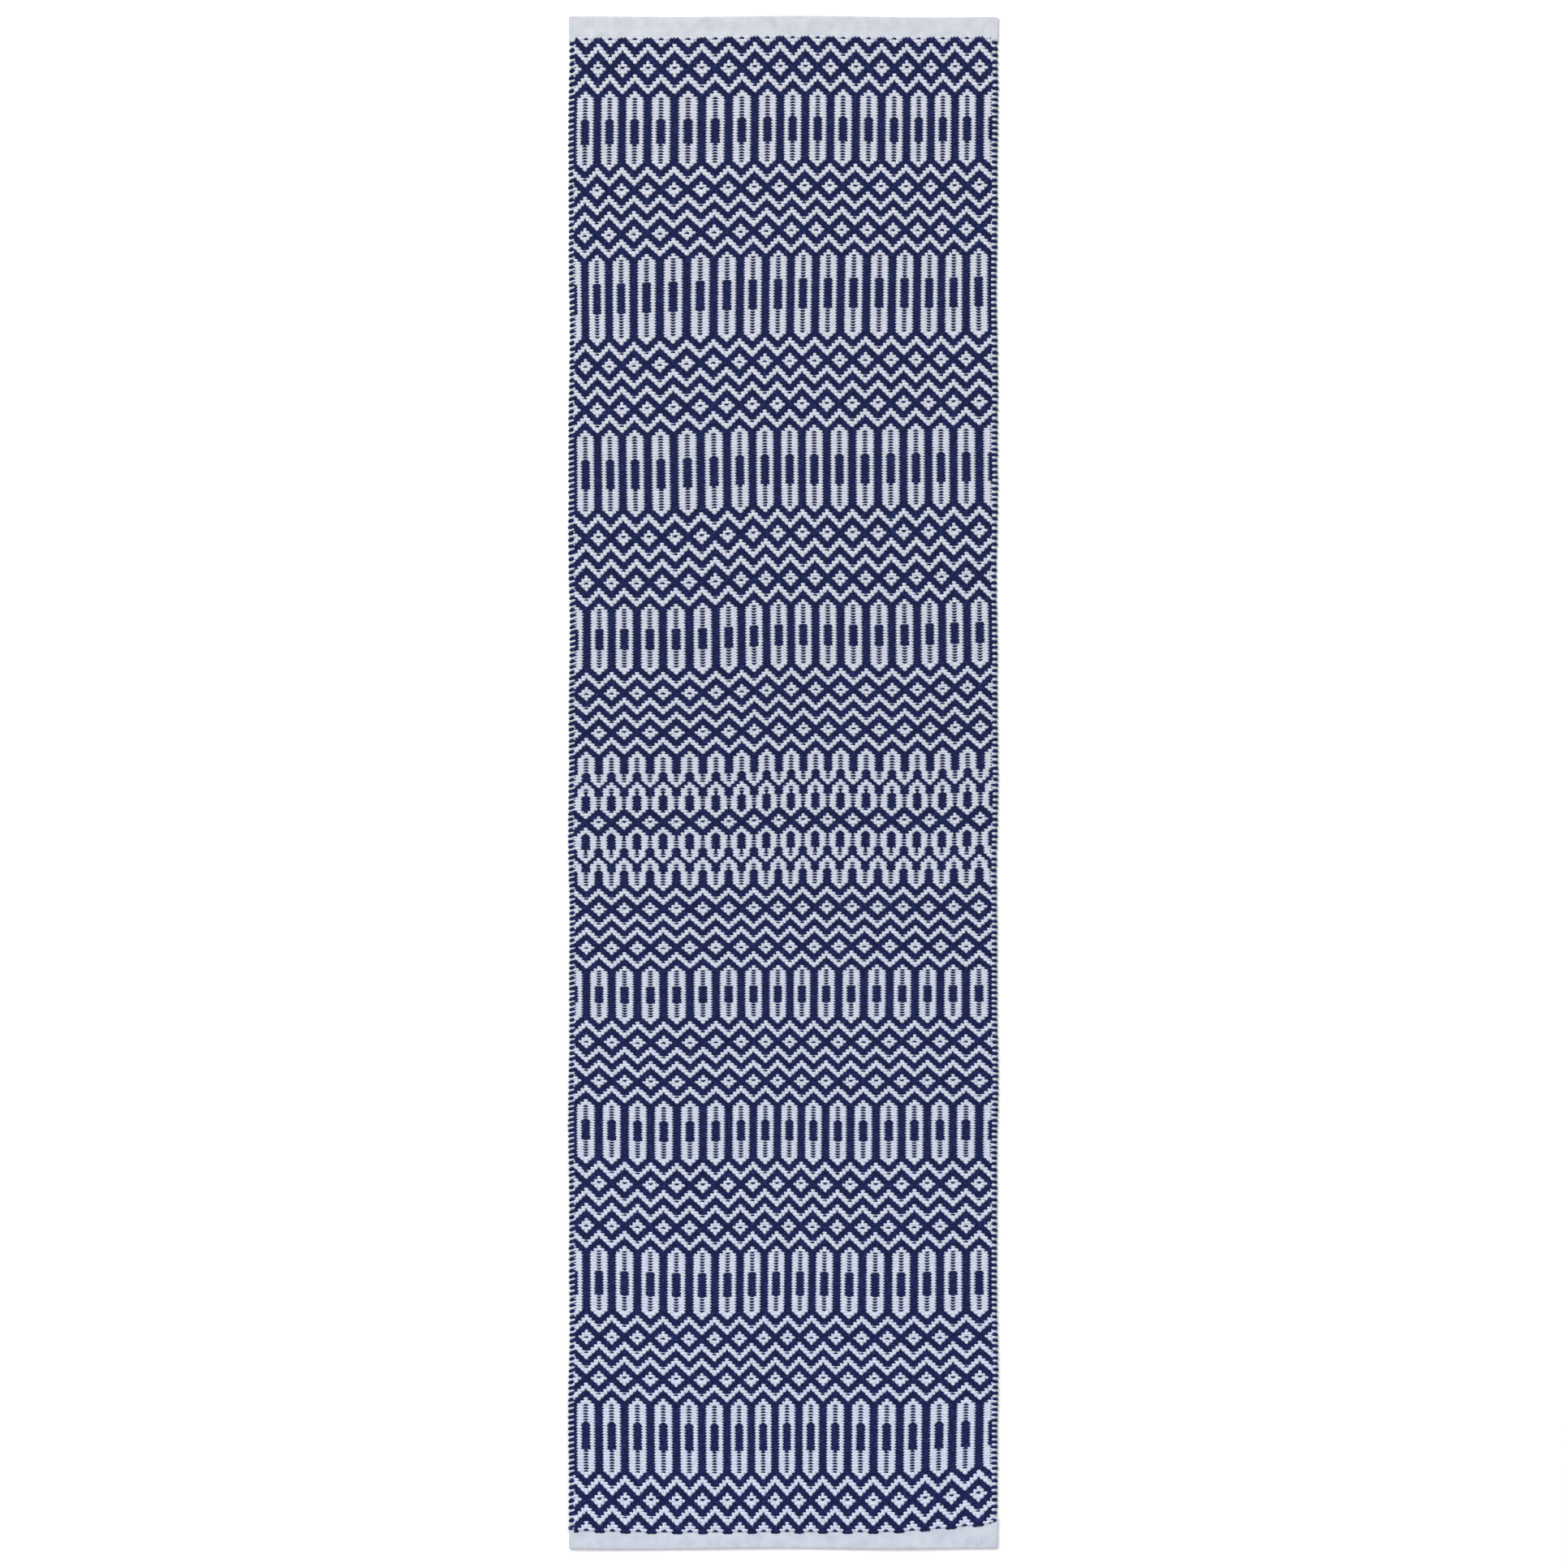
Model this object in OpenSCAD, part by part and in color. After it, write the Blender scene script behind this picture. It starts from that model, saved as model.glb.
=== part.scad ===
// Flat-woven cotton runner rug: packed navy and white weft over hidden warp cords,
// with a plain-woven white heading turned under and stitched at each end.
// X runs across the rug, Y along it towards the head end, Z up from the floor.

/* [Rug] */
// Width across the rug, edge to edge
rug_w = 700; // [500:10:900]
// Length of the rug, end to end, with both headings
rug_l = 2500; // [1200:50:3500]
// Thickness of the woven field
field_t = 6; // [4.5:0.5:9]

/* [Weave] */
// Length of rug taken by one white and one navy course of weft
course_pitch = 9.4; // [6:0.2:20]
// Thickness of a warp cord
warp_d = 1.2; // [0.8:0.1:2]
// Spacing of the warp cords across the rug
warp_pitch = 5.2; // [4:0.2:12]
// Width of the doubled warp cord inside each side edge
selvedge_w = 3.6; // [2:0.2:6]

/* [Ends] */
// Depth of the plain-woven white heading at each end
heading_d = 29; // [20:1:60]
// Thickness of one layer of the heading
heading_t = 2.2; // [1.2:0.1:2.6]
// Depth of the heading that is turned back under itself
hem_d = 23; // [12:1:28]
// Length of one hem stitch on the face
stitch_l = 5; // [3:0.5:8]
// Distance from one hem stitch to the next
stitch_pitch = 8; // [6:0.5:16]
// Thickness of the hem thread
thread_d = 0.6; // [0.3:0.1:1]

/* [Hidden] */
$fn = 24;

navy = [0.12, 0.15, 0.38];
white = [0.86, 0.87, 0.90];
heading_white = [0.80, 0.83, 0.87];
cord_white = [0.90, 0.89, 0.85];

field_l = rug_l - 2 * heading_d;
courses = floor(field_l / course_pitch);
pitch = field_l / courses;          // courses fill the field exactly
bar_w = pitch / 2;                  // each course is one bar of weft wide
layer_t = (field_t - warp_d) / 2;   // weft above, and weft below, the warp
turn_w = 1.2;                       // weft that turns around the edge cord
edge_x = rug_w / 2 - turn_w;        // outer side of the edge cords
inner_w = 2 * (edge_x - selvedge_w);
cords = floor(inner_w / warp_pitch);
cord_step = inner_w / cords;
fold_r = heading_t;                 // outer radius of the turned-under edge
stitch_y = rug_l / 2 - hem_d + 5;   // the stitch line, in from the hem's raw edge
stitch_z = 2 * heading_t + thread_d / 2; // stitches lie on the face

// One straight course of weft, above or below the warp
module course(y, above) {
    translate([-rug_w / 2, y, above ? field_t - layer_t : 0])
        cube([rug_w, bar_w, layer_t]);
}

// The weft's turn from one layer to the other, outside an edge cord
module turn(y, side) {
    translate([side > 0 ? edge_x : -rug_w / 2, y - bar_w / 2, layer_t])
        cube([turn_w, bar_w, warp_d]);
}

// One colour of weft: it shows on the face in every other course, lies on the back
// in the courses between, and turns around the edge cords on its way.
module weft(first) {
    for (i = [0 : courses - 1]) {
        face_y = -field_l / 2 + i * pitch + first * bar_w;
        back_y = -field_l / 2 + i * pitch + (1 - first) * bar_w;
        course(face_y, true);
        course(back_y, false);
        turn(-field_l / 2 + i * pitch + bar_w, first > 0 ? -1 : 1);
        if (i > 0) turn(-field_l / 2 + i * pitch, first > 0 ? 1 : -1);
    }
}

module warp_cords() {
    color(cord_white)
        for (i = [0 : cords - 1])
            translate([-inner_w / 2 + (i + 0.5) * cord_step, field_l / 2, field_t / 2])
                rotate([90, 0, 0]) cylinder(d = warp_d, h = field_l);
}

// Two warps laid side by side as one flat edge cord
module selvedge_cord(side) {
    color(cord_white)
        translate([side * (edge_x - selvedge_w / 2), field_l / 2, field_t / 2])
            rotate([90, 0, 0]) linear_extrude(field_l) {
                square([selvedge_w - warp_d, warp_d], center = true);
                for (s = [-1, 1])
                    translate([s * (selvedge_w - warp_d) / 2, 0]) circle(d = warp_d);
            }
}

module navy_weft() {
    color(navy) weft(1);
}

module white_weft() {
    color(white) weft(0);
}

// Section of a heading: one layer from the field, doubled where it is turned under
module heading_section() {
    reach = heading_d - fold_r;
    translate([0, heading_t]) square([reach, heading_t]);
    translate([heading_d - hem_d, 0]) square([hem_d - fold_r, heading_t]);
    intersection() {
        translate([reach, heading_t]) circle(r = fold_r);
        translate([reach, 0]) square([fold_r, 2 * fold_r]);
    }
}

// The head heading; the foot one is the same piece turned end for end
module heading() {
    color(heading_white)
        translate([-rug_w / 2, rug_l / 2 - heading_d, 0])
            rotate([90, 0, 90]) linear_extrude(rug_w) heading_section();
}

// A row of running stitches lying on the top of the head heading
module hem_stitches() {
    n = floor((rug_w - 12) / stitch_pitch);
    color(white)
        for (i = [0 : n - 1])
            translate([(i - (n - 1) / 2) * stitch_pitch - stitch_l / 2, stitch_y, stitch_z])
                rotate([0, 90, 0]) cylinder(d = thread_d, h = stitch_l);
}

module head_heading() { heading(); }
module foot_heading() { rotate([0, 0, 180]) heading(); }
module head_hem_stitches() { hem_stitches(); }
module foot_hem_stitches() { rotate([0, 0, 180]) hem_stitches(); }

warp_cords();
selvedge_cord(-1);  // left_selvedge_cord
selvedge_cord(1);  // right_selvedge_cord
navy_weft();
white_weft();
head_heading();
foot_heading();
head_hem_stitches();
foot_hem_stitches();
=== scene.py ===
import math

import bpy
import numpy as np
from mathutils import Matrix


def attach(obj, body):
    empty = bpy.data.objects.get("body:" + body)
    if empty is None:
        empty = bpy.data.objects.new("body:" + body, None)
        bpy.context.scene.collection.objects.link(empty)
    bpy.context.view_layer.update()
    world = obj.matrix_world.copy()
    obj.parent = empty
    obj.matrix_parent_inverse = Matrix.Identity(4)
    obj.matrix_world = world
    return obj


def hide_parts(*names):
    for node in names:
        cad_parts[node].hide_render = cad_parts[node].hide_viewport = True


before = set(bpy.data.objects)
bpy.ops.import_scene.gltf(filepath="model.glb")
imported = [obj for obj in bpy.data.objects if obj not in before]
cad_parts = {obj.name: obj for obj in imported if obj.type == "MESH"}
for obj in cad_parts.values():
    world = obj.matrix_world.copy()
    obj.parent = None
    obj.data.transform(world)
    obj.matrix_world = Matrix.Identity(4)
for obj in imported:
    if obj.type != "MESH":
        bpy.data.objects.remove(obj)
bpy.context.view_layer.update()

MM = 0.001

# ---------------------------------------------------------------- sizes, mm
RUG_W, RUG_L = 700.0, 2500.0
FIELD_T = 6.0                  # thickness of the woven field
HEADING_D = 29.0               # depth of the plain white heading at each end
HEADING_T = 2.0                # one layer of the heading
HEM_D = 23.0                   # how much of it is turned back under
TUCK_D = 9.0                   # how much of it lies under the first picks of the field
FIELD_L = RUG_L - 2 * HEADING_D
COLUMNS = 135                  # pattern columns across, each over a pair of warps
COL_W = RUG_W / COLUMNS
MOTIF_COLS = 8                 # columns in one repeat of the pattern
FIRST_Q = 5                    # the column the first lozenge is centred on
MID_Z = FIELD_T / 2

# ---------------------------------------------------------------- the draft
# One row of cloth is a white pick and a navy pick. A line of a motif gives the columns
# outwards from its centre to half a repeat away:
#   W  white on the face
#   .  navy on the face
#   x  both, a navy dash between white arcs, bowed up in a motif that is centred on a Q
#      column and down in one that is centred between two
#   u  the same, always bowed down
#   v  the same, hardly bowed
TIP = ["W....", "WW..."]
SHUT = ["WW...", "W...."]
EYE, CORE, BODY, KNEE = "xWW..", "..W..", "xWW..", "..WWv"


def diamond():
    return TIP + [EYE] + SHUT


def zigzag():
    return TIP + [".WW..", KNEE, "...WW", "....W"]


def lozenge(above, core, below, dash="x"):
    """A long lozenge: dashes above and below a navy core."""
    dashes_below = [BODY.replace("x", dash)] * below
    return TIP + [BODY] * above + [CORE] * core + dashes_below + SHUT


def tall_peak():
    return TIP + [BODY] * 6 + [KNEE] * 3 + ["...WW", "....W"]


def cored_peak():
    return TIP + [BODY] * 2 + [".WW.."] + [KNEE] * 4 + ["..WW.", EYE] + SHUT


def cored_valley():
    return cored_peak()[::-1]


def tall_valley():
    return ["....W", "...WW"] + [KNEE] * 3 + [BODY] * 5 + SHUT


# Between lozenges the cloth always goes: zigzag, diamonds, two zigzags, diamonds, zigzag
BETWEEN = ["zig", "dia", "zig", "zig", "dia", "zig"]

# The bands from the head end, each with its row height in mm: a hand loom's beat varies
BANDS = [
    (5.38, ["start", "zig", "dia", "zig"]),
    (4.69, [("loz", 8, 8, 7)]),
    (5.06, BETWEEN),
    (4.80, [("loz", 8, 10, 9)]),
    (5.16, BETWEEN),
    (4.60, [("loz", 9, 10, 8)]),
    (5.24, BETWEEN),
    (4.63, [("loz", 7, 7, 7)]),
    (4.62, BETWEEN),
    (4.58, ["tall_peak", "cored_peak", "dia", "cored_valley", "tall_valley"]),
    (4.55, BETWEEN),
    (4.33, [("loz", 6, 6, 6)]),
    (4.63, BETWEEN),
    (4.38, [("loz", 6, 7, 7, "u")]),
    (4.90, BETWEEN),
    (4.67, [("loz", 7, 8, 6)]),
    (4.80, BETWEEN),
    (4.72, [("loz", 7, 9, 8)]),
    (5.46, ["zig", "dia", "zig", "finish"]),
]

FIXED_BOW = {"u": -1.0, "v": 0.3}    # the bow of a dash that doesn't follow its motif
# how wide the white yarn lies along the rug and in some motifs, as a share of its steps below
FULL_HEAD, FULL_MIDDLE, FULL_FOOT = 0.90, 0.87, 0.97
FULL = {"zig": 1.10, "dia": 1.0}
# how far the ends of its runs reach over the navy, as a share
REACH = {"zig": 0.96, "dia": 0.76}


def motif(name):
    """A motif's lines, the rows to the next one, and whether that one is half a repeat over."""
    if isinstance(name, tuple):
        lines = lozenge(*name[1:])
        return lines, len(lines) - 1, True
    lines, step, flip = {
        "start": ([EYE] + SHUT, 2, True),
        "finish": (TIP + [EYE], 3, False),
        "zig": (zigzag(), 5, False),
        "dia": (diamond(), 4, True),
        "tall_peak": (tall_peak(), 11, False),
        "cored_peak": (cored_peak(), 12, True),
        "cored_valley": (cored_valley(), 11, False),
        "tall_valley": (tall_valley(), 11, True),
    }[name]
    return lines, step, flip


def weave_chart():
    """Each row's marks for 0 to 4 columns from a Q column, the bow of its dashes, how wide
    the white yarn lies and how far it reaches there, and each row's height."""
    marks, bows, fulls, reaches, heights = {}, {}, {}, {}, []
    row, at_q = 0, True
    for height, names in BANDS:
        for name in names:
            lines, step, flip = motif(name)
            for i, line in enumerate(lines):
                for k, mark in enumerate(line):
                    spot = (row + i, k if at_q else 4 - k)
                    if mark != ".":
                        marks[spot] = mark if mark == "W" else "x"
                        bows[spot] = FIXED_BOW.get(mark, 1.0 if at_q else -1.0)
                        fulls[spot] = FULL.get(name, 1.0)
                        reaches[spot] = REACH.get(name, 1.0)
            heights += [height] * step
            row += step
            if flip:
                at_q = not at_q

    def table(cells, blank):
        return np.array([[cells.get((r, k), blank) for k in range(5)] for r in range(row)])

    heights = np.array(heights)
    along = np.interp(np.arange(row), (0, row / 2, row), (FULL_HEAD, FULL_MIDDLE, FULL_FOOT))
    return (table(marks, "."), table(bows, 0.0), table(fulls, 1.0) * along[:, None],
            table(reaches, 1.0), heights * FIELD_L / heights.sum())


CHART, BOW, WHITE_FULL, WHITE_REACH, ROW_H = weave_chart()
ROWS = len(CHART)
ROW_TOP = FIELD_L / 2 - np.concatenate([[0.0], np.cumsum(ROW_H)])
ROW_Y = (ROW_TOP[:-1] + ROW_TOP[1:]) / 2

# each column's distance from the nearest Q column
past_q = (np.arange(COLUMNS) - FIRST_Q) % MOTIF_COLS
FROM_Q = np.minimum(past_q, MOTIF_COLS - past_q)


# ---------------------------------------------------------------- drift of a hand-woven cloth
# The factors are mm. Most of those in drift_x and drift_y were fitted by least squares to
# offsets measured against the photograph, then rounded.
def foot_corner(u, v):
    """0 to 1 towards the right corner of the foot, where the last rows pull up and inwards."""
    return np.clip((u - 0.45) / 0.55, 0, 1) ** 1.6 * np.clip((-v - 0.80) / 0.13, 0, 1)


def drift_x(x, y):
    """Warps wander sideways along the rug and are spread a little wider left of the middle."""
    u, v = x / (RUG_W / 2), y / (RUG_L / 2)
    spread = ((6.5 + 2.0 * v) * np.exp(-((x + 95) / 120) ** 2)
              - 1.4 * np.exp(-((x - 95) / 70) ** 2))
    wander = 1.6 * np.sin(y / 330 + 0.6) + 0.9 * np.sin(y / 140 + x / 260) - 2.0
    fan = (5.2 * v + 1.4) * np.sin(math.pi * u) + 1.4 * v * np.cos(math.pi * u) - 2.6 * u ** 3
    sway = (-2.0 * np.sin(1.5 * math.pi * v) + 0.8 * np.cos(2 * math.pi * v)
            + 1.9 * u ** 2 * np.sin(2 * math.pi * v))
    return spread + wander + fan + sway - 3.0 * foot_corner(u, v)


def drift_y(x, y):
    """Rows are beaten in a little unevenly, across the width and along the rug."""
    u, v = x / (RUG_W / 2), y / (RUG_L / 2)
    lift = 2.2 * u + 1.0 * np.sin(x / 105 + 0.5 + y / 900) + 0.7 * np.sin(x / 47 + y / 160)
    climb = (4.0 * u * np.sin(math.pi * v) + 2.4 * u ** 3 * np.cos(math.pi / 2 * v)
             - 1.8 * u ** 2 * v + 0.8 * np.cos(2 * math.pi * u))
    beat = (3.2 - 6.0 * np.cos(math.pi / 2 * v) + 4.7 * np.cos(1.5 * math.pi * v)
            - 3.8 * np.cos(2 * math.pi * v) + 1.1 * np.sin(1.5 * math.pi * v))
    return (lift * np.clip((1 - np.abs(v)) / 0.24, 0.25, 1.0) + climb + beat
            + 12.0 * foot_corner(u, v))


def edge_wave(y, start):
    """One side of the outline is pulled out and in by about a millimetre."""
    return 0.9 * np.sin(y / 83 + start) + 0.5 * np.sin(y / 37 + 2 * start)


def outline_wave(x, y):
    """How far the side of the rug that x lies on is pulled towards +x."""
    return np.where(x > 0, edge_wave(y, 1.0), -edge_wave(y, 2.0))


def near_side(x):
    """0 over most of the width, rising to 1 at the sides."""
    return np.abs(x / (RUG_W / 2)) ** 6


rng = np.random.default_rng(7)

# ---------------------------------------------------------------- materials
def new_material(name):
    mat = bpy.data.materials.new(name)
    mat.use_nodes = True
    tree = mat.node_tree
    tree.nodes.clear()
    out = tree.nodes.new("ShaderNodeOutputMaterial")
    shader = tree.nodes.new("ShaderNodeBsdfPrincipled")
    tree.links.new(shader.outputs["BSDF"], out.inputs["Surface"])
    return mat, tree, shader


def node(tree, kind, **values):
    n = tree.nodes.new(kind)
    for key, value in values.items():
        if key in n.inputs:
            n.inputs[key].default_value = value
        else:
            setattr(n, key, value)
    return n


def ramp(tree, source, stops):
    r = tree.nodes.new("ShaderNodeValToRGB")
    r.color_ramp.elements[0].position = stops[0][0]
    r.color_ramp.elements[0].color = (*stops[0][1], 1)
    r.color_ramp.elements[1].position = stops[-1][0]
    r.color_ramp.elements[1].color = (*stops[-1][1], 1)
    for pos, colour in stops[1:-1]:
        e = r.color_ramp.elements.new(pos)
        e.color = (*colour, 1)
    tree.links.new(source, r.inputs["Fac"])
    return r.outputs["Color"]


def srgb(r, g, b):
    def lin(c):
        c /= 255
        return c / 12.92 if c <= 0.04045 else ((c + 0.055) / 1.055) ** 2.4
    return (lin(r), lin(g), lin(b))


def multiplied(tree, colour, factor, share=1.0):
    """The colour times another; a Mix node's colours are its sockets 6, 7 and 2."""
    mix = node(tree, "ShaderNodeMix", data_type="RGBA", blend_type="MULTIPLY")
    mix.inputs["Factor"].default_value = share
    tree.links.new(colour, mix.inputs[6])
    tree.links.new(factor, mix.inputs[7])
    return mix.outputs[2]


def relief_on(tree, shader, *layers):
    """Bumps on top of each other, each (height, strength, distance in metres)."""
    normal = None
    for height, strength, distance in layers:
        bump = node(tree, "ShaderNodeBump", Strength=strength, Distance=distance)
        tree.links.new(height, bump.inputs["Height"])
        if normal is not None:
            tree.links.new(normal, bump.inputs["Normal"])
        normal = bump.outputs["Normal"]
    tree.links.new(normal, shader.inputs["Normal"])


def tinted(tree, coords, colour, share=1.0):
    """The colour, a touch lighter and bluer towards the foot of the rug."""
    place = tree.nodes.new("ShaderNodeSeparateXYZ")
    tree.links.new(coords.outputs["Object"], place.inputs["Vector"])
    along = node(tree, "ShaderNodeMapRange")
    along.inputs["From Min"].default_value = RUG_L / 2 * MM
    along.inputs["From Max"].default_value = -RUG_L / 2 * MM
    tree.links.new(place.outputs["Y"], along.inputs["Value"])
    tint = ramp(tree, along.outputs["Result"], [
        (0.0, (1.005, 0.99, 0.98)), (0.5, (0.995, 1.0, 1.01)), (1.0, (1.05, 1.08, 1.16))])
    return multiplied(tree, colour, tint, share)


def yarn_material(name, dark, mid, light, ply_mm=9.0, fuzz=0.6, relief=0.8):
    """Soft plied cotton: shade drifts along each yarn, plies and fibres are relief."""
    mat, tree, shader = new_material(name)
    link = tree.links.new
    uv = node(tree, "ShaderNodeUVMap", uv_map="yarn")          # u metres along, v turns around
    split = tree.nodes.new("ShaderNodeSeparateXYZ")
    link(uv.outputs["UV"], split.inputs["Vector"])
    shade = node(tree, "ShaderNodeTexNoise", Scale=260.0, Detail=4.0, Roughness=0.65)
    stretch = node(tree, "ShaderNodeMapping", vector_type="POINT")
    stretch.inputs["Scale"].default_value = (1.0, 0.014, 1.0)
    link(uv.outputs["UV"], stretch.inputs["Vector"])
    link(stretch.outputs["Vector"], shade.inputs["Vector"])
    colour = ramp(tree, shade.outputs["Fac"], [(0.28, dark), (0.5, mid), (0.74, light)])
    coords = tree.nodes.new("ShaderNodeTexCoord")
    link(tinted(tree, coords, colour), shader.inputs["Base Color"])
    # plies: slanted ridges that run round the yarn
    twist = node(tree, "ShaderNodeMath", operation="MULTIPLY")
    twist.inputs[1].default_value = 2 * math.pi / (ply_mm * MM)
    link(split.outputs["X"], twist.inputs[0])
    spiral = node(tree, "ShaderNodeMath", operation="MULTIPLY_ADD")
    spiral.inputs[1].default_value = 4 * math.pi
    link(split.outputs["Y"], spiral.inputs[0])
    link(twist.outputs[0], spiral.inputs[2])
    ridge = node(tree, "ShaderNodeMath", operation="SINE")
    link(spiral.outputs[0], ridge.inputs[0])
    groove = node(tree, "ShaderNodeMath", operation="ABSOLUTE")
    link(ridge.outputs[0], groove.inputs[0])
    fibre = node(tree, "ShaderNodeTexNoise", Scale=1500.0, Detail=4.0, Roughness=0.7)
    link(coords.outputs["Object"], fibre.inputs["Vector"])
    relief_on(tree, shader, (groove.outputs[0], relief, 0.0007),
              (fibre.outputs["Fac"], fuzz, 0.0005))
    rough = node(tree, "ShaderNodeMapRange")
    rough.inputs["To Min"].default_value = 0.78
    rough.inputs["To Max"].default_value = 0.97
    link(fibre.outputs["Fac"], rough.inputs["Value"])
    link(rough.outputs["Result"], shader.inputs["Roughness"])
    shader.inputs["Specular IOR Level"].default_value = 0.25
    return mat


navy_yarn = yarn_material("navy_yarn", srgb(2, 6, 36), srgb(9, 21, 68), srgb(42, 58, 120))
white_yarn = yarn_material("white_yarn", srgb(182, 188, 202), srgb(203, 208, 221),
                           srgb(221, 225, 235))
# warp and edge cords: real yarn, but their dark grey is painted shade for the gaps between picks
# where the warp shows
warp_yarn = yarn_material("warp_yarn", srgb(96, 99, 118), srgb(118, 121, 138),
                          srgb(140, 142, 156))


# ---------------------------------------------------------------- yarn meshes
class Tubes:
    """Gathers yarns as rings of points and turns them into one mesh."""

    def __init__(self):
        self.points, self.faces, self.uv, self.count = [], [], [], 0

    def add(self, centre, half_y, half_z, u_start, sides=6):
        """centre: n x 3 path running across the rug; half_y, half_z: its n half sizes."""
        n = len(centre)
        angle = (np.arange(sides) + 0.5) * 2 * math.pi / sides     # with an edge at the very top
        cos, sin = np.cos(angle), np.sin(angle)
        rings = np.empty((n, sides, 3))
        rings[..., 0] = centre[:, None, 0]
        rings[..., 1] = centre[:, None, 1] + half_y[:, None] * cos[None, :] / cos[0]
        rings[..., 2] = centre[:, None, 2] + half_z[:, None] * sin[None, :]
        self.points.append(rings.reshape(-1, 3))
        a = np.arange(n - 1)[:, None] * sides + np.arange(sides)[None, :]
        b = np.arange(n - 1)[:, None] * sides + (np.arange(sides)[None, :] + 1) % sides
        quads = np.stack([a, b, b + sides, a + sides], -1).reshape(-1, 4) + self.count
        self.faces.append(quads)
        step = np.linalg.norm(np.diff(centre, axis=0), axis=1)
        u = u_start + np.concatenate([[0.0], np.cumsum(step)]) * MM
        v = np.arange(sides + 1) / sides
        uv = np.empty((n - 1, sides, 4, 2))
        uv[..., 0, 0] = uv[..., 1, 0] = u[:-1, None]
        uv[..., 2, 0] = uv[..., 3, 0] = u[1:, None]
        uv[..., 0, 1] = uv[..., 3, 1] = v[None, :-1]
        uv[..., 1, 1] = uv[..., 2, 1] = v[None, 1:]
        self.uv.append(uv.reshape(-1, 2))
        # close both ends, each with a fan of quads
        for base, way in ((0, -1), ((n - 1) * sides, 1)):
            o = [self.count + base + (way * k) % sides for k in range(sides)]
            fan = [[o[0], o[k], o[k + 1], o[k + 2]] for k in range(1, sides - 2, 2)]
            self.faces.append(np.array(fan))
            self.uv.append(np.full((4 * len(fan), 2), u_start))
        self.count += n * sides

    def mesh(self, name):
        points = np.concatenate(self.points) * MM
        faces = np.concatenate(self.faces)
        uv = np.concatenate(self.uv)
        me = bpy.data.meshes.new(name)
        me.vertices.add(len(points))
        me.vertices.foreach_set("co", points.astype(np.float32).ravel())
        me.loops.add(faces.size)
        me.loops.foreach_set("vertex_index", faces.astype(np.int32).ravel())
        me.polygons.add(len(faces))
        me.polygons.foreach_set("loop_start", np.arange(0, faces.size, 4, dtype=np.int32))
        me.polygons.foreach_set("use_smooth", np.ones(len(faces), dtype=bool))
        me.update(calc_edges=True)
        layer = me.uv_layers.new(name="yarn")
        layer.data.foreach_set("uv", uv.astype(np.float32).ravel())
        me.validate()
        return me


def add_object(name, me, material):
    ob = bpy.data.objects.new(name, me)
    bpy.context.scene.collection.objects.link(ob)
    me.materials.append(material)
    return ob


COL_X = (np.arange(COLUMNS) + 0.5) * COL_W - RUG_W / 2
FACE_Z = 1.5                   # height of a float's middle over the rug's mid plane
BACK = -1.0                    # the height of a yarn that runs along the back, in FACE_Zs
YARN_HALF_T = 1.34             # half the thickness of a yarn that lies a row wide or more
# A pick over the face is a run of slanted stitches, one for each column, and under the
# others it runs flat. Steps are (columns from the column's centre, height in FACE_Zs, width
# in rows, slant). Slant is a share of SLANT, the rise in rows at a stitch's left end.
SLANT = 0.15
STITCH = {
    "navy": ((-0.30, 1.0, 1.50, 1.0), (0.36, 0.78, 1.25, -1.0)),
    "white": ((-0.30, 1.0, 1.50, 1.0), (0.36, 0.80, 1.34, -0.8)),
}
# the outer step of a run's first stitch, then its dive to the back; mirrored at the right.
# Where a white area has an upright side its stitches end in long tips over the navy.
RUN_END = {
    "navy": ((-0.18, 0.96, 1.28, 0.2), (-0.58, 0.60, 1.06, 0.0)),
    "white": ((-0.16, 1.0, 1.26, 0.3), (-0.45, 1.04, 0.98, 0.3), (-0.72, 1.04, 0.38, 0.2),
              (-0.80, 0.20, 0.20, 0.1)),
    "tip": ((-0.18, 1.0, 1.22, 0.4), (-0.50, 1.10, 0.84, 0.5), (-0.78, 1.22, 0.46, 0.6),
            (-1.02, 1.20, 0.15, 0.7), (-1.07, 0.30, 0.12, 0.7)),
}
# where both colours show each is a thin arc: (columns, height, width, bow)
ARC = {
    "navy": ((-1.00, 0.10, 0.30, 0.0), (-0.66, 1.06, 0.52, 0.3), (0.0, 1.10, 0.80, 1.0),
             (0.66, 1.06, 0.52, 0.3), (1.00, 0.10, 0.30, 0.0)),
    "white": ((-0.88, 1.0, 1.00, 0.0), (-0.58, 0.96, 0.62, 0.4), (0.0, 0.92, 0.46, 1.0),
              (0.58, 0.96, 0.62, 0.4), (0.88, 1.0, 1.00, 0.0)),
}
ARC_BOW = 0.30                 # how far an arc rises, in row heights
BY_ARC = (0.10, 1.0, 1.36, 0.3)   # the step of a stitch on the side where an arc follows
BACK_W = 1.5                   # width of a yarn on the back, in row heights
BACK_SHIFT = 0.28              # columns by which its ends keep clear of the face
BACK_EVERY = 4                 # columns from one of its rings to the next
# the last dash over a core: how full it lies where it bows up and down, and its own bow
CLOSING_UP, CLOSING_DOWN, CLOSING_BOW = 1.45, 0.8, 0.5


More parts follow.
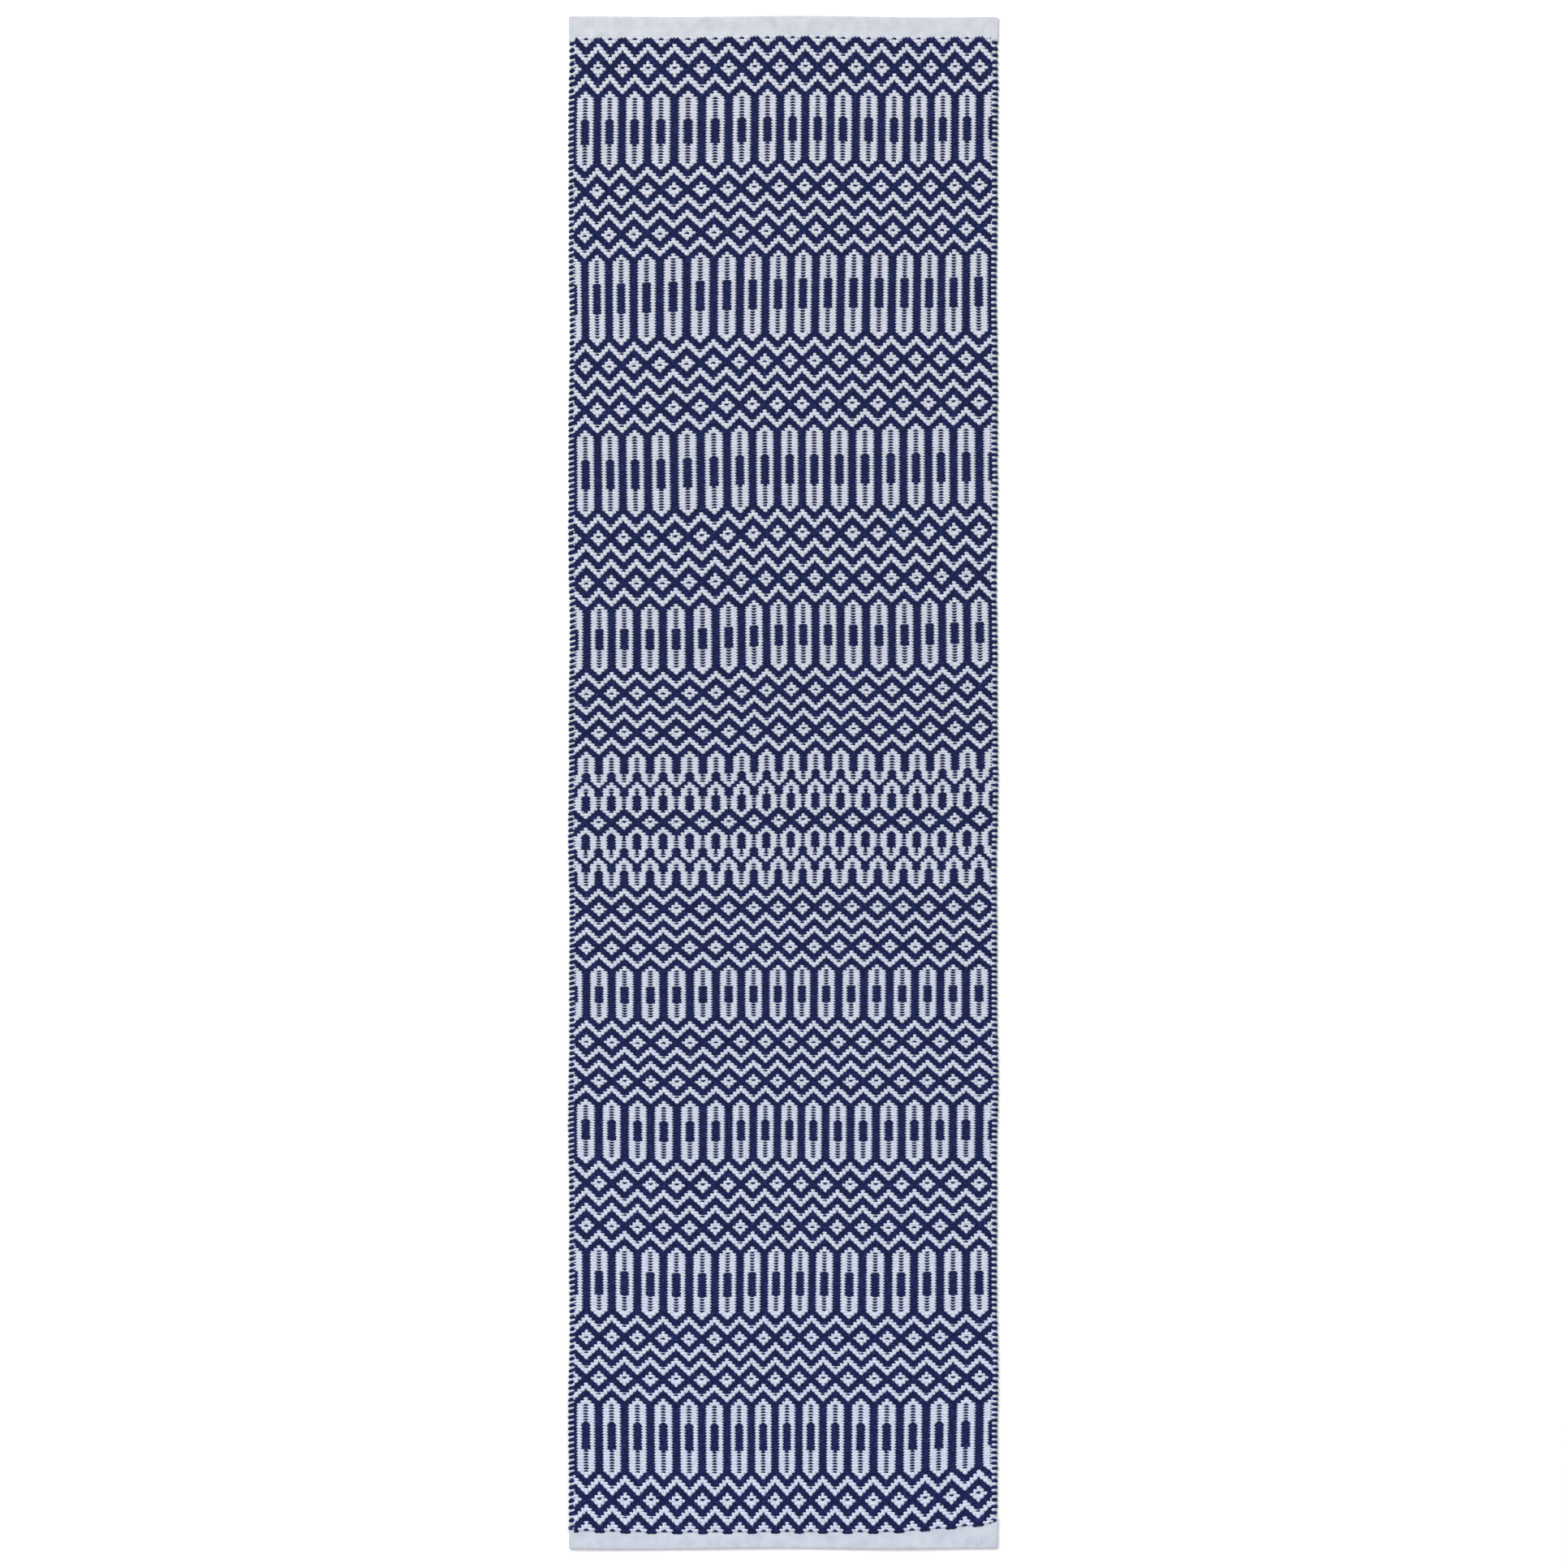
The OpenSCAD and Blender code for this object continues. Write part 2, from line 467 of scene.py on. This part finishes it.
def path_of(up, both, bow, full, reach, upright, colour):
    """The rings of one pick between the side edges: x, height, width and rise in rows."""
    rings = []

    def step(j, side, part, scale, reach=1.0):
        c, height, width, rise = part
        if height > BACK:
            width = width * full[j]
        rings.append((COL_X[j] + side * c * reach * COL_W, height * FACE_Z, width,
                      side * rise * scale))

    last = COLUMNS - 1
    left, right = STITCH[colour]
    for j in range(COLUMNS):
        starts = j > 0 and up[j - 1] != up[j]
        ends = j < last and up[j + 1] != up[j]
        if both[j]:
            for c, height, width, share in ARC[colour]:
                step(j, 1, (c, height, width, share), bow[j] * ARC_BOW)
        elif up[j] > 0:
            enter = (BY_ARC,) if j > 0 and both[j - 1] else (left,)
            leave = (BY_ARC,) if j < last and both[j + 1] else None
            first, final = (RUN_END["tip" if upright[side][j] else colour] for side in (0, 1))
            for part in (first[::-1] if starts else enter):
                step(j, 1, part, SLANT, reach[j] if starts else 1.0)
            if leave or ends:
                for part in (final if ends else leave):
                    step(j, -1, part, SLANT, reach[j] if ends else 1.0)
            else:
                step(j, 1, right, SLANT)
        elif starts or ends or j % BACK_EVERY == 0:
            c = (BACK_SHIFT if starts else 0.0) - (BACK_SHIFT if ends else 0.0)
            step(j, 1, (c, BACK, BACK_W, 0.0), 0.0)
    return np.array(rings).T


def lay(x, y):
    """Where a point of the even cloth lies once the cloth has drifted and its edges waver."""
    share = near_side(x)
    return (x + drift_x(x, y) * (1 - share) + outline_wave(x, y) * share,
            y + drift_y(x, y))


def white_edges(r):
    """The columns where white areas of row r have their left and their right side."""
    shown = np.array([CHART[min(max(r, 0), ROWS - 1)][k] != "." for k in FROM_Q])
    return shown & ~np.roll(shown, 1), shown & ~np.roll(shown, -1)


def pick(tubes, r, colour):
    """One pick of one colour: the yarn of row r, up to the turns at the sides."""
    white = colour == "white"
    h = ROW_H[r]
    marks = np.array([CHART[r][k] for k in FROM_Q])
    bow = BOW[r][FROM_Q]
    full, reach = np.ones(COLUMNS), np.ones(COLUMNS)
    upright = np.zeros((2, COLUMNS), dtype=bool)
    if white:
        both = marks == "x"
        shown = both | (marks == "W")
        full, reach = WHITE_FULL[r][FROM_Q], WHITE_REACH[r][FROM_Q]
        upright = np.logical_and.reduce([white_edges(r - 1), white_edges(r), white_edges(r + 1)])
    else:
        # the dash is above a white arc that is bowed down, so it belongs to the pick before
        after = min(r + 1, ROWS - 1)
        marks_after = np.array([CHART[after][k] for k in FROM_Q])
        bow_after = BOW[after][FROM_Q]
        above = (marks_after == "x") & (bow_after < 0) & (marks != ".")
        # over a navy core the last dash is fuller, so that no warp shows between them
        closing = (marks == "x") & (marks_after == ".")
        both = ((marks == "x") & (bow > 0)) | above | closing
        shown = both | (marks == ".")
        full = np.where(closing, np.where(bow > 0, CLOSING_UP, CLOSING_DOWN), 1.0)
        bow = np.where(above, bow_after, np.where(closing, CLOSING_BOW * bow, bow))
    y0 = ROW_Y[r] - (0.0 if white else 0.5 * h)
    x, z, w, rise = path_of(np.where(shown, 1, -1), both, bow, full, reach, upright, colour)
    inside = np.abs(x) < RUG_W / 2 - TURN_D
    x, z, w, rise = x[inside], z[inside], w[inside], rise[inside]
    stop = RUG_W / 2 - TURN_D + 1.5
    x = np.concatenate([[-stop], x, [stop]])
    z = np.concatenate([[0.2 * z[0]], z, [0.2 * z[-1]]])
    w = np.concatenate([[0.5], w, [0.5]])
    rise = np.concatenate([[0.0], rise, [0.0]])
    # hand-made unevenness: mm along the rug and in height, shares in width and thickness
    jig = rng.normal(0, 1, (4, len(x)))
    px, py = lay(x, y0 + rise * h + 0.10 * jig[0])
    half_y = w * h / 2 * (1 + 0.045 * jig[1] + 0.05 * rng.normal())
    half_z = YARN_HALF_T * np.clip(w, 0.1, 1.0) ** 0.5 * (1 + 0.04 * jig[2])
    centre = np.stack([px, py, MID_Z + z + 0.06 * jig[3]], 1)
    # the shade starts somewhere else on each yarn
    tubes.add(centre, half_y, half_z, r * 0.731 + (0.0 if white else 400.0))


# A pick's turn at the side, which wraps the edge cord: steps as (mm in from the outline, half
# height along the rug, half thickness), and how much it slants
TURN_D = 9.0                   # how far in from the outline the picks stop
TURN_ROW_H = 4.7               # the row height that the steps are for
TURN_MIDDLE = 5.0              # mm in from the outline of the point that it slants about
TURN_CLEAR = 3.0               # the room that the last turn leaves to the heading at the foot
NAVY_TURN = ((11.0, 1.3, 1.5), (9.0, 2.3, 2.4), (6.5, 2.9, 2.75), (4.0, 2.9, 2.6),
             (2.0, 2.5, 2.1), (0.8, 1.8, 1.3), (0.1, 0.7, 0.5))
WHITE_TURN = {
    -1: ((12.0, 0.9, 1.3), (9.5, 1.5, 2.5), (6.5, 1.7, 2.75), (4.0, 1.6, 2.5),
         (2.4, 1.3, 2.0), (1.4, 0.9, 1.2), (0.8, 0.4, 0.4)),
    1: ((12.0, 1.1, 1.4), (9.5, 2.0, 2.5), (7.0, 2.4, 2.85), (5.0, 2.3, 2.6),
        (3.4, 1.7, 2.0), (2.6, 1.0, 1.2), (2.2, 0.5, 0.4)),
}
TURN_SLANT = {-1: 0.20, 1: 0.06}


def turns(tubes, r, colour, side):
    """The turn between rows r and r + 1, drawn as a loop of its own at each side."""
    white = colour == "white"
    steps = np.array(WHITE_TURN[side] if white else NAVY_TURN)
    h = ROW_H[r]
    d = steps[:, 0] + rng.normal() * 0.25
    y0 = ROW_Y[r] - (0.5 * h if white else 1.5 * h) + 0.3 * rng.normal()
    y0 = max(y0, TURN_CLEAR - FIELD_L / 2)
    x, y = lay(side * (RUG_W / 2 - d), y0 + TURN_SLANT[side] * (d - TURN_MIDDLE))
    size = h / TURN_ROW_H * (1 + 0.07 * rng.normal())
    centre = np.stack([x, y, np.full(len(d), MID_Z)], 1)
    tubes.add(centre, steps[:, 1] * size, steps[:, 2], r * 0.311, sides=12)


WEFT_PIECES = 12               # pieces that each weft is split into, to keep each mesh small


def weave():
    """Both wefts, each as WEFT_PIECES pieces along the rug, from the head end."""
    pieces = {"navy": [], "white": []}
    cuts = np.linspace(0, ROWS, WEFT_PIECES + 1).round().astype(int)
    for colour, material in (("navy", navy_yarn), ("white", white_yarn)):
        for b in range(WEFT_PIECES):
            tubes = Tubes()
            for r in range(cuts[b], cuts[b + 1]):
                pick(tubes, r, colour)
                if r % 2 == 0:
                    for side in (-1, 1):
                        turns(tubes, r, colour, side)
            name = f"{colour}_weft_{b + 1}"
            pieces[colour].append(add_object(name, tubes.mesh(name), material))
    return pieces


weft = weave()
for colour, obs in weft.items():
    for ob in obs:
        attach(ob, "root")
        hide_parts(f"{colour}_weft")

# ---------------------------------------------------------------- warp, headings and hems
END_GAP = 0.5                  # how far the warp stops short of the field's ends
EDGE_CORD_IN = 3.9             # the edge cord's middle from the outline
EDGE_CORD_HALF_W, EDGE_CORD_HALF_T = 1.5, 0.9
WARP_IN = 7.0                  # how far in from the outline the warp layer begins
WARP_HALF_T, WARP_RIB = 0.2, 0.3     # half its thickness in a groove, and its ribs' height


def skin(name, rings, material):
    """A closed mesh over n rings of m points each, with a flat cap at both ends."""
    n, m = rings.shape[:2]
    i = np.arange(n - 1)[:, None]
    j = np.arange(m)[None, :]
    a, b = i * m + j, i * m + (j + 1) % m
    faces = np.stack([a, a + m, b + m, b], -1).reshape(-1, 4).tolist()
    faces.append(list(range(m)))
    faces.append(list(range(n * m - 1, (n - 1) * m - 1, -1)))
    me = bpy.data.meshes.new(name)
    me.from_pydata((rings.reshape(-1, 3) * MM).tolist(), [], faces)
    me.polygons.foreach_set("use_smooth", np.ones(len(me.polygons), dtype=bool))
    me.update()
    layer = me.uv_layers.new(name="yarn")
    loops = np.empty(len(me.loops), dtype=np.int32)
    me.loops.foreach_get("vertex_index", loops)
    corners = rings.reshape(-1, 3)[loops]
    uv = np.stack([corners[:, 1] * MM, corners[:, 0] / COL_W], 1)
    layer.data.foreach_set("uv", uv.astype(np.float32).ravel())
    return add_object(name, me, material)


def warp_set():
    """All the field's warp cords side by side, as one ribbed layer inside the weft."""
    across, count = COLUMNS * 4 + 1, 62
    half = RUG_W / 2 - WARP_IN
    x = np.linspace(-half, half, across)
    y = np.linspace(-FIELD_L / 2 + END_GAP, FIELD_L / 2 - END_GAP, count)
    rib = np.abs(np.cos(np.linspace(0, COLUMNS * math.pi, across)))
    top = WARP_HALF_T + WARP_RIB * rib
    ring_x = np.concatenate([x, x[::-1]])
    ring_z = MID_Z + np.concatenate([top, -top[::-1]])
    rings = np.empty((count, len(ring_x), 3))
    for ring, at in zip(rings, y):
        ring[:, 0] = ring_x + drift_x(ring_x, at) * (1 - near_side(ring_x))
        ring[:, 1] = at + drift_y(ring_x, at)
        ring[:, 2] = ring_z
    return skin("warp_layer", rings, warp_yarn)


def edge_cord(name, side):
    """The doubled warp that the weft turns around at one side."""
    count, sides = 90, 10
    y = np.linspace(-FIELD_L / 2 + END_GAP, FIELD_L / 2 - END_GAP, count)
    x = side * (RUG_W / 2 - EDGE_CORD_IN) + outline_wave(side, y)
    angle = np.arange(sides) * 2 * math.pi / sides
    rings = np.empty((count, sides, 3))
    rings[..., 0] = x[:, None] + EDGE_CORD_HALF_W * np.cos(angle)[None, :]
    rings[..., 1] = y[:, None]
    rings[..., 2] = MID_Z + EDGE_CORD_HALF_T * np.sin(angle)[None, :]
    return skin(name, rings[:, ::-1], warp_yarn)


warp = warp_set()
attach(warp, "root")
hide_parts("warp_cords")
for name, side in (("left", -1), ("right", 1)):
    cord = edge_cord(f"{name}_edge_cord", side)
    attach(cord, "root")
    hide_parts(f"{name}_selvedge_cord")


def heading_material():
    """Fine plain weave: each rib is a warp end, crossed by thin picks."""
    mat, tree, shader = new_material("heading_cloth")
    link = tree.links.new
    uv = node(tree, "ShaderNodeUVMap", uv_map="yarn")
    coords = tree.nodes.new("ShaderNodeTexCoord")
    blotch = node(tree, "ShaderNodeTexNoise", Scale=60.0, Detail=4.0, Roughness=0.6)
    link(coords.outputs["Object"], blotch.inputs["Vector"])
    colour = ramp(tree, blotch.outputs["Fac"], [
        (0.3, srgb(186, 191, 199)), (0.5, srgb(196, 200, 208)), (0.7, srgb(204, 208, 215))])
    # crossing of warp and weft: a chequer of sines
    split = tree.nodes.new("ShaderNodeSeparateXYZ")
    link(uv.outputs["UV"], split.inputs["Vector"])
    waves = []
    for axis, factor in (("Y", 2 * math.pi), ("X", math.pi / (1.25 * MM))):
        m = node(tree, "ShaderNodeMath", operation="MULTIPLY")
        m.inputs[1].default_value = factor
        link(split.outputs[axis], m.inputs[0])
        w = node(tree, "ShaderNodeMath", operation="SINE")
        link(m.outputs[0], w.inputs[0])
        waves.append(w)
    chequer = node(tree, "ShaderNodeMath", operation="MULTIPLY")
    link(waves[0].outputs[0], chequer.inputs[0])
    link(waves[1].outputs[0], chequer.inputs[1])
    fibre = node(tree, "ShaderNodeTexNoise", Scale=1700.0, Detail=3.0, Roughness=0.7)
    link(coords.outputs["Object"], fibre.inputs["Vector"])
    relief_on(tree, shader, (chequer.outputs[0], 0.25, 0.0002),
              (fibre.outputs["Fac"], 0.35, 0.0002))
    shadow = node(tree, "ShaderNodeMapRange")
    shadow.inputs["From Min"].default_value = -1.0
    shadow.inputs["To Min"].default_value = 0.97
    shadow.inputs["To Max"].default_value = 1.0
    link(chequer.outputs[0], shadow.inputs["Value"])
    lit = multiplied(tree, tinted(tree, coords, colour, share=0.6), shadow.outputs["Result"])
    link(lit, shader.inputs["Base Color"])
    shader.inputs["Roughness"].default_value = 0.9
    shader.inputs["Specular IOR Level"].default_value = 0.2
    return mat


heading_cloth = heading_material()


RIBS = 2 * COLUMNS             # ribs across a heading
RIB_STEPS = 4                  # rings in each rib
RIB_H = 0.2 * 1.6              # half the height of a rib
HEADING_IN = 0.8               # how far in from the outline its sides are
LAYER_GAP = 0.35               # between its two layers
CORNER_R = 5.5                 # width of its rounded corners
CORNER_CUT = 4.5               # how far they are rounded back
EDGE_LIFT = 0.5                # how far its outer edge waves up, each way from the middle


def heading_line():
    """The middle of the cloth from the field to the raw edge: distance along the rug, height."""
    half = HEADING_T / 2
    inner = FIELD_L / 2 - TUCK_D
    upper, lower = 3 * half + LAYER_GAP, half
    fold = (upper - lower) / 2
    run = RUG_L / 2 - half - fold
    flat = inner + 4                                # where it has come level
    line = [(inner, upper + 0.4), (flat, upper + 0.1)]
    line += [(flat + (run - inner - 4) * k / 5, upper) for k in range(1, 6)]
    for k in range(1, 6):
        a = math.pi * k / 6
        line.append((run + fold * math.sin(a), lower + fold + fold * math.cos(a)))
    line += [(run - (HEM_D - half - fold) * k / 3, lower) for k in range(4)]
    return np.array(line)


def heading(name, end):
    """The plain white end of the cloth, turned under along its outer edge; end is 1 or -1."""
    across = RIBS * RIB_STEPS + 1
    x = np.linspace(-RUG_W / 2 + HEADING_IN, RUG_W / 2 - HEADING_IN, across)
    rib = RIB_H * np.cos(np.arange(across) / RIB_STEPS * 2 * math.pi)
    half = HEADING_T / 2
    inner = FIELD_L / 2 - TUCK_D
    line = heading_line()
    tangent = np.gradient(line, axis=0)
    tangent /= np.linalg.norm(tangent, axis=1)[:, None]
    normal = np.stack([-tangent[:, 1], tangent[:, 0]], 1)
    ring_mid = np.concatenate([line, line[::-1]])
    ring_normal = np.concatenate([normal, -normal[::-1]])
    outer = np.concatenate([np.ones(len(line)), np.zeros(len(line))])
    wave = 0.9 * np.sin(x / 61 + end) + 0.7 * np.sin(x / 150 + 2 * end) - 0.6
    corner = np.clip((np.abs(x) - (RUG_W / 2 - CORNER_R)) / CORNER_R, 0, 1)
    rings = np.empty((across, len(ring_mid), 3))
    for i, ring in enumerate(rings):
        thick = half + rib[i] * outer
        along = ring_mid[:, 0] + ring_normal[:, 0] * thick
        up = ring_mid[:, 1] + ring_normal[:, 1] * thick
        # the outer edge waves, is rounded at its corners and lifts a little
        out = np.clip((along - inner) / (RUG_L / 2 - inner), 0, 1)
        rounded = CORNER_CUT * (1 - math.sqrt(1 - corner[i] ** 2))
        lift = EDGE_LIFT * (1 + math.sin(x[i] / 43 + 3 * end)) * out ** 2
        wobble = 0.8 * math.sin(3 + end + x[i]) + 0.4
        ring[:, 0] = x[i] + np.sign(x[i]) * wobble * out * near_side(x[i])
        ring[:, 1] = (end * (along + (wave[i] - rounded) * out ** 2)
                      + drift_y(x[i], end * FIELD_L / 2) * (1 - out))
        ring[:, 2] = up + lift * (0.35 + 0.65 * (up / (2 * HEADING_T)))
    if end > 0:
        rings = rings[:, ::-1]
    return skin(name, rings, heading_cloth)


HEM_PITCH, HEM_STITCH_L = 8.0, 3.4
HEM_SPAN = RUG_W - 12          # the width that the stitches take up
HEM_IN = 5                     # from the raw edge of the turned-under layer to the stitches
HEM_THREAD_R = 0.28


def hem_stitches(name, end):
    """Short running stitches that hold the turned-under layer, sunk into the ribs."""
    tubes = Tubes()
    y0 = RUG_L / 2 - HEM_D + HEM_IN
    t = np.linspace(-1, 1, 7)
    radius = np.full(7, HEM_THREAD_R)
    for k in range(int(HEM_SPAN / HEM_PITCH)):
        middle = (k + 0.5) * HEM_PITCH - HEM_SPAN / 2 + rng.normal() * 0.3
        path = np.stack([middle + t * HEM_STITCH_L / 2,
                         np.full(7, end * y0) + rng.normal() * 0.25,
                         2 * HEADING_T + 0.55 - 0.9 * t ** 4], 1)
        tubes.add(path, radius, radius, k * 0.1, sides=8)
    return add_object(name, tubes.mesh(name), hem_thread)


hem_thread = yarn_material("hem_thread", srgb(190, 194, 202), srgb(198, 201, 208),
                           srgb(206, 209, 215), ply_mm=1.2, fuzz=0.1, relief=0.03)
for label, end in (("head", 1), ("foot", -1)):
    cloth = heading(f"{label}_end_cloth", end)
    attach(cloth, "root")
    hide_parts(f"{label}_heading")
    thread = hem_stitches(f"{label}_end_stitches", end)
    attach(thread, "root")
    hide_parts(f"{label}_hem_stitches")

# ---------------------------------------------------------------- stage
FLOOR_SIZE = 30                # metres, as are all sizes of the stage
SKY_STRENGTH = 0.75
KEY_SIZE, KEY_POWER, KEY_PLACE = 6.0, 1080, (-6.0, 7.0, 9.0)
VIEW_SIZE = 2.557              # side of the square that the camera sees
CAMERA_PLACE = (0.0013, -0.002, 5.0)

scene = bpy.context.scene
bpy.ops.mesh.primitive_plane_add(size=FLOOR_SIZE, location=(0, 0, 0))
floor = bpy.context.object
floor.name = "floor"
floor_material, _, floor_shader = new_material("floor")
floor_shader.inputs["Base Color"].default_value = (0.95, 0.95, 0.95, 1)
floor_shader.inputs["Roughness"].default_value = 0.9
floor.data.materials.append(floor_material)

world = scene.world or bpy.data.worlds.new("studio")
scene.world = world
world.use_nodes = True
background = world.node_tree.nodes.get("Background")
background.inputs["Color"].default_value = (1, 1, 1, 1)
background.inputs["Strength"].default_value = SKY_STRENGTH


def area_light(name, size, power, location):
    """A square light that faces the middle of the rug."""
    data = bpy.data.lights.new(name, "AREA")
    data.shape = "SQUARE"
    data.size = size
    data.energy = power
    ob = bpy.data.objects.new(name, data)
    ob.location = location
    direction = -ob.location.normalized()
    ob.rotation_euler = direction.to_track_quat("-Z", "Y").to_euler()
    scene.collection.objects.link(ob)


area_light("key", KEY_SIZE, KEY_POWER, KEY_PLACE)
scene.view_settings.view_transform = "Standard"

lens = bpy.data.cameras.new("camera")
lens.type = "ORTHO"
lens.ortho_scale = VIEW_SIZE
camera = bpy.data.objects.new("camera", lens)
camera.location = CAMERA_PLACE
scene.collection.objects.link(camera)
scene.camera = camera
